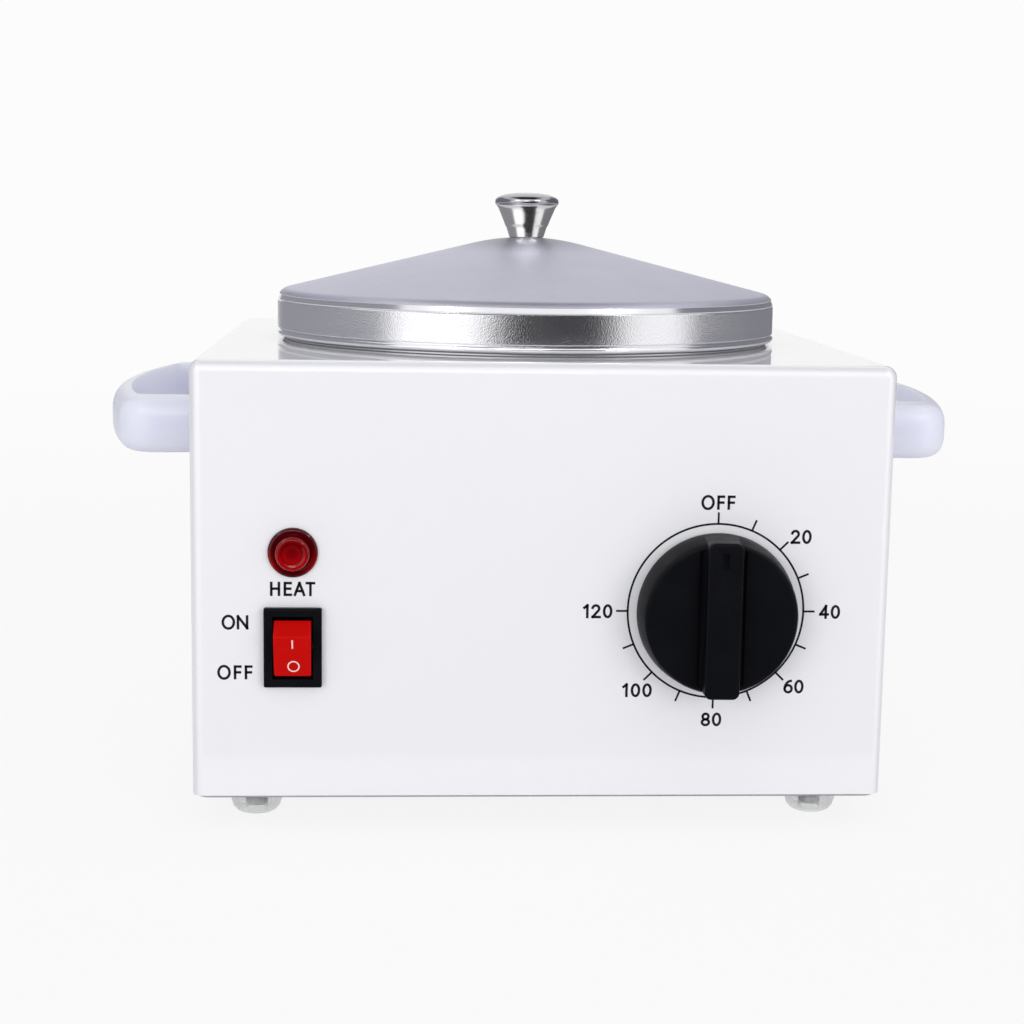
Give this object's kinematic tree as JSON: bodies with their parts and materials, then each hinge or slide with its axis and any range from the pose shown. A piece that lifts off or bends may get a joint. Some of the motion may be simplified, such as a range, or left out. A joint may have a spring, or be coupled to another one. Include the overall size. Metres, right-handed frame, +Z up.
{
  "type": "candle wax melter",
  "caption": "Electric wax melter: square white steel case with side handles, heated well, lift-out pot under a conical metal lid, dial, rocker switch and pilot lamp.",
  "frame": {"origin": "on the floor under the middle of the whole object's bounding box", "axes": "+Z up, +X to the object's right as seen from the front, the control panel faces -Y"},
  "size_m": [0.2388, 0.202, 0.1638],
  "materials": {
    "case_coat": "white gloss powder coat over steel sheet",
    "zinc_sheet": "zinc-plated steel sheet",
    "bright_screws": "bright zinc-plated fasteners",
    "clear_feet": "clear soft plastic",
    "handle_plastic": "pale translucent moulded plastic, glossy",
    "spun_aluminium": "spun aluminium, satin",
    "bright_steel": "polished",
    "heater_sheath": "heater band sheath",
    "insulation": "needled glass fibre",
    "black_gloss": "moulded black",
    "red_rocker": "moulded red",
    "red_lens": "clear deep red",
    "thermostat_case": "moulded cream",
    "turned_steel": "turned",
    "terminals": "brass blades",
    "copper": "drawn copper",
    "neon_glass": "clear glass",
    "live_wire": "brown silicone",
    "neutral_wire": "blue silicone"
  },
  "bodies": {
    "base": {"outer_case": "case_coat", "base_plate": "zinc_sheet", "heat_shield": "zinc_sheet", "bulb_clip": "zinc_sheet", "lamp_clip": "zinc_sheet", "heater_strap": "zinc_sheet", "base_screws": "bright_screws", "foot_screws": "bright_screws", "foot_nuts": "bright_screws", "handle_screws": "bright_screws", "strap_screw": "bright_screws", "strap_nut": "bright_screws", "well_stud": "bright_screws", "stud_nuts": "bright_screws", "thermostat_screws": "bright_screws", "cutout_studs": "bright_screws", "cutout_nuts": "bright_screws", "block_screw": "bright_screws", "foot_front_left": "clear_feet", "foot_front_right": "clear_feet", "foot_rear_left": "clear_feet", "foot_rear_right": "clear_feet", "handle_left": "handle_plastic", "handle_right": "handle_plastic", "heating_well": "spun_aluminium", "heater_band": "heater_sheath", "insulation_wrap": "insulation", "switch_housing": "black_gloss", "cord_gland": "black_gloss", "gland_nut": "black_gloss", "lamp_lens": "red_lens", "thermostat_body": "thermostat_case", "thermal_cutout": "thermostat_case", "terminal_block": "thermostat_case", "lamp_holder": "thermostat_case", "thermostat_terminals": "terminals", "switch_terminals": "terminals", "capillary_tube": "copper", "sensor_bulb": "copper", "neon_lamp": "neon_glass", "wire_block_to_switch": "live_wire", "wire_switch_to_thermostat": "live_wire", "wire_thermostat_to_cutout": "live_wire", "wire_cutout_to_heater": "live_wire", "wire_lamp_to_switch": "live_wire", "wire_heater_to_block": "neutral_wire", "wire_lamp_to_block": "neutral_wire"},
    "pot": {"inner_pot": "spun_aluminium", "pot_lugs": "spun_aluminium"},
    "bail": {"pot_bail": "bright_steel"},
    "lid": {"lid_shell": "spun_aluminium", "lid_knob": "bright_steel", "knob_washer": "bright_screws", "knob_screw": "bright_screws"},
    "dial": {"dial_knob": "black_gloss", "thermostat_shaft": "turned_steel"},
    "rocker": {"switch_rocker": "red_rocker"}
  },
  "joints": [
    {"name": "pot_lift", "type": "slide", "parent": "base", "child": "pot", "axis": [0, 0, 1], "range_m": [0, 0.12]},
    {"name": "lid_lift", "type": "slide", "parent": "pot", "child": "lid", "axis": [0, 0, 1], "range_m": [0, 0.16]},
    {"name": "bail_swing", "type": "hinge", "parent": "pot", "child": "bail", "pos_m": [0, 0.003, 0.1248], "axis": [1, 0, 0], "range_deg": [0, 90]},
    {"name": "dial_turn", "type": "hinge", "parent": "base", "child": "dial", "pos_m": [0.0447, -0.087, 0.0574], "axis": [0, 1, 0], "range_deg": [0, 270]},
    {"name": "rocker_press", "type": "hinge", "parent": "base", "child": "rocker", "pos_m": [-0.064, -0.086, 0.0478], "axis": [-1, 0, 0], "range_deg": [0, 36]}
  ],
  "couplings": [
    {"joint": "bail_swing", "follows": "lid_lift", "rad_per_m": 9.8}
  ]
}
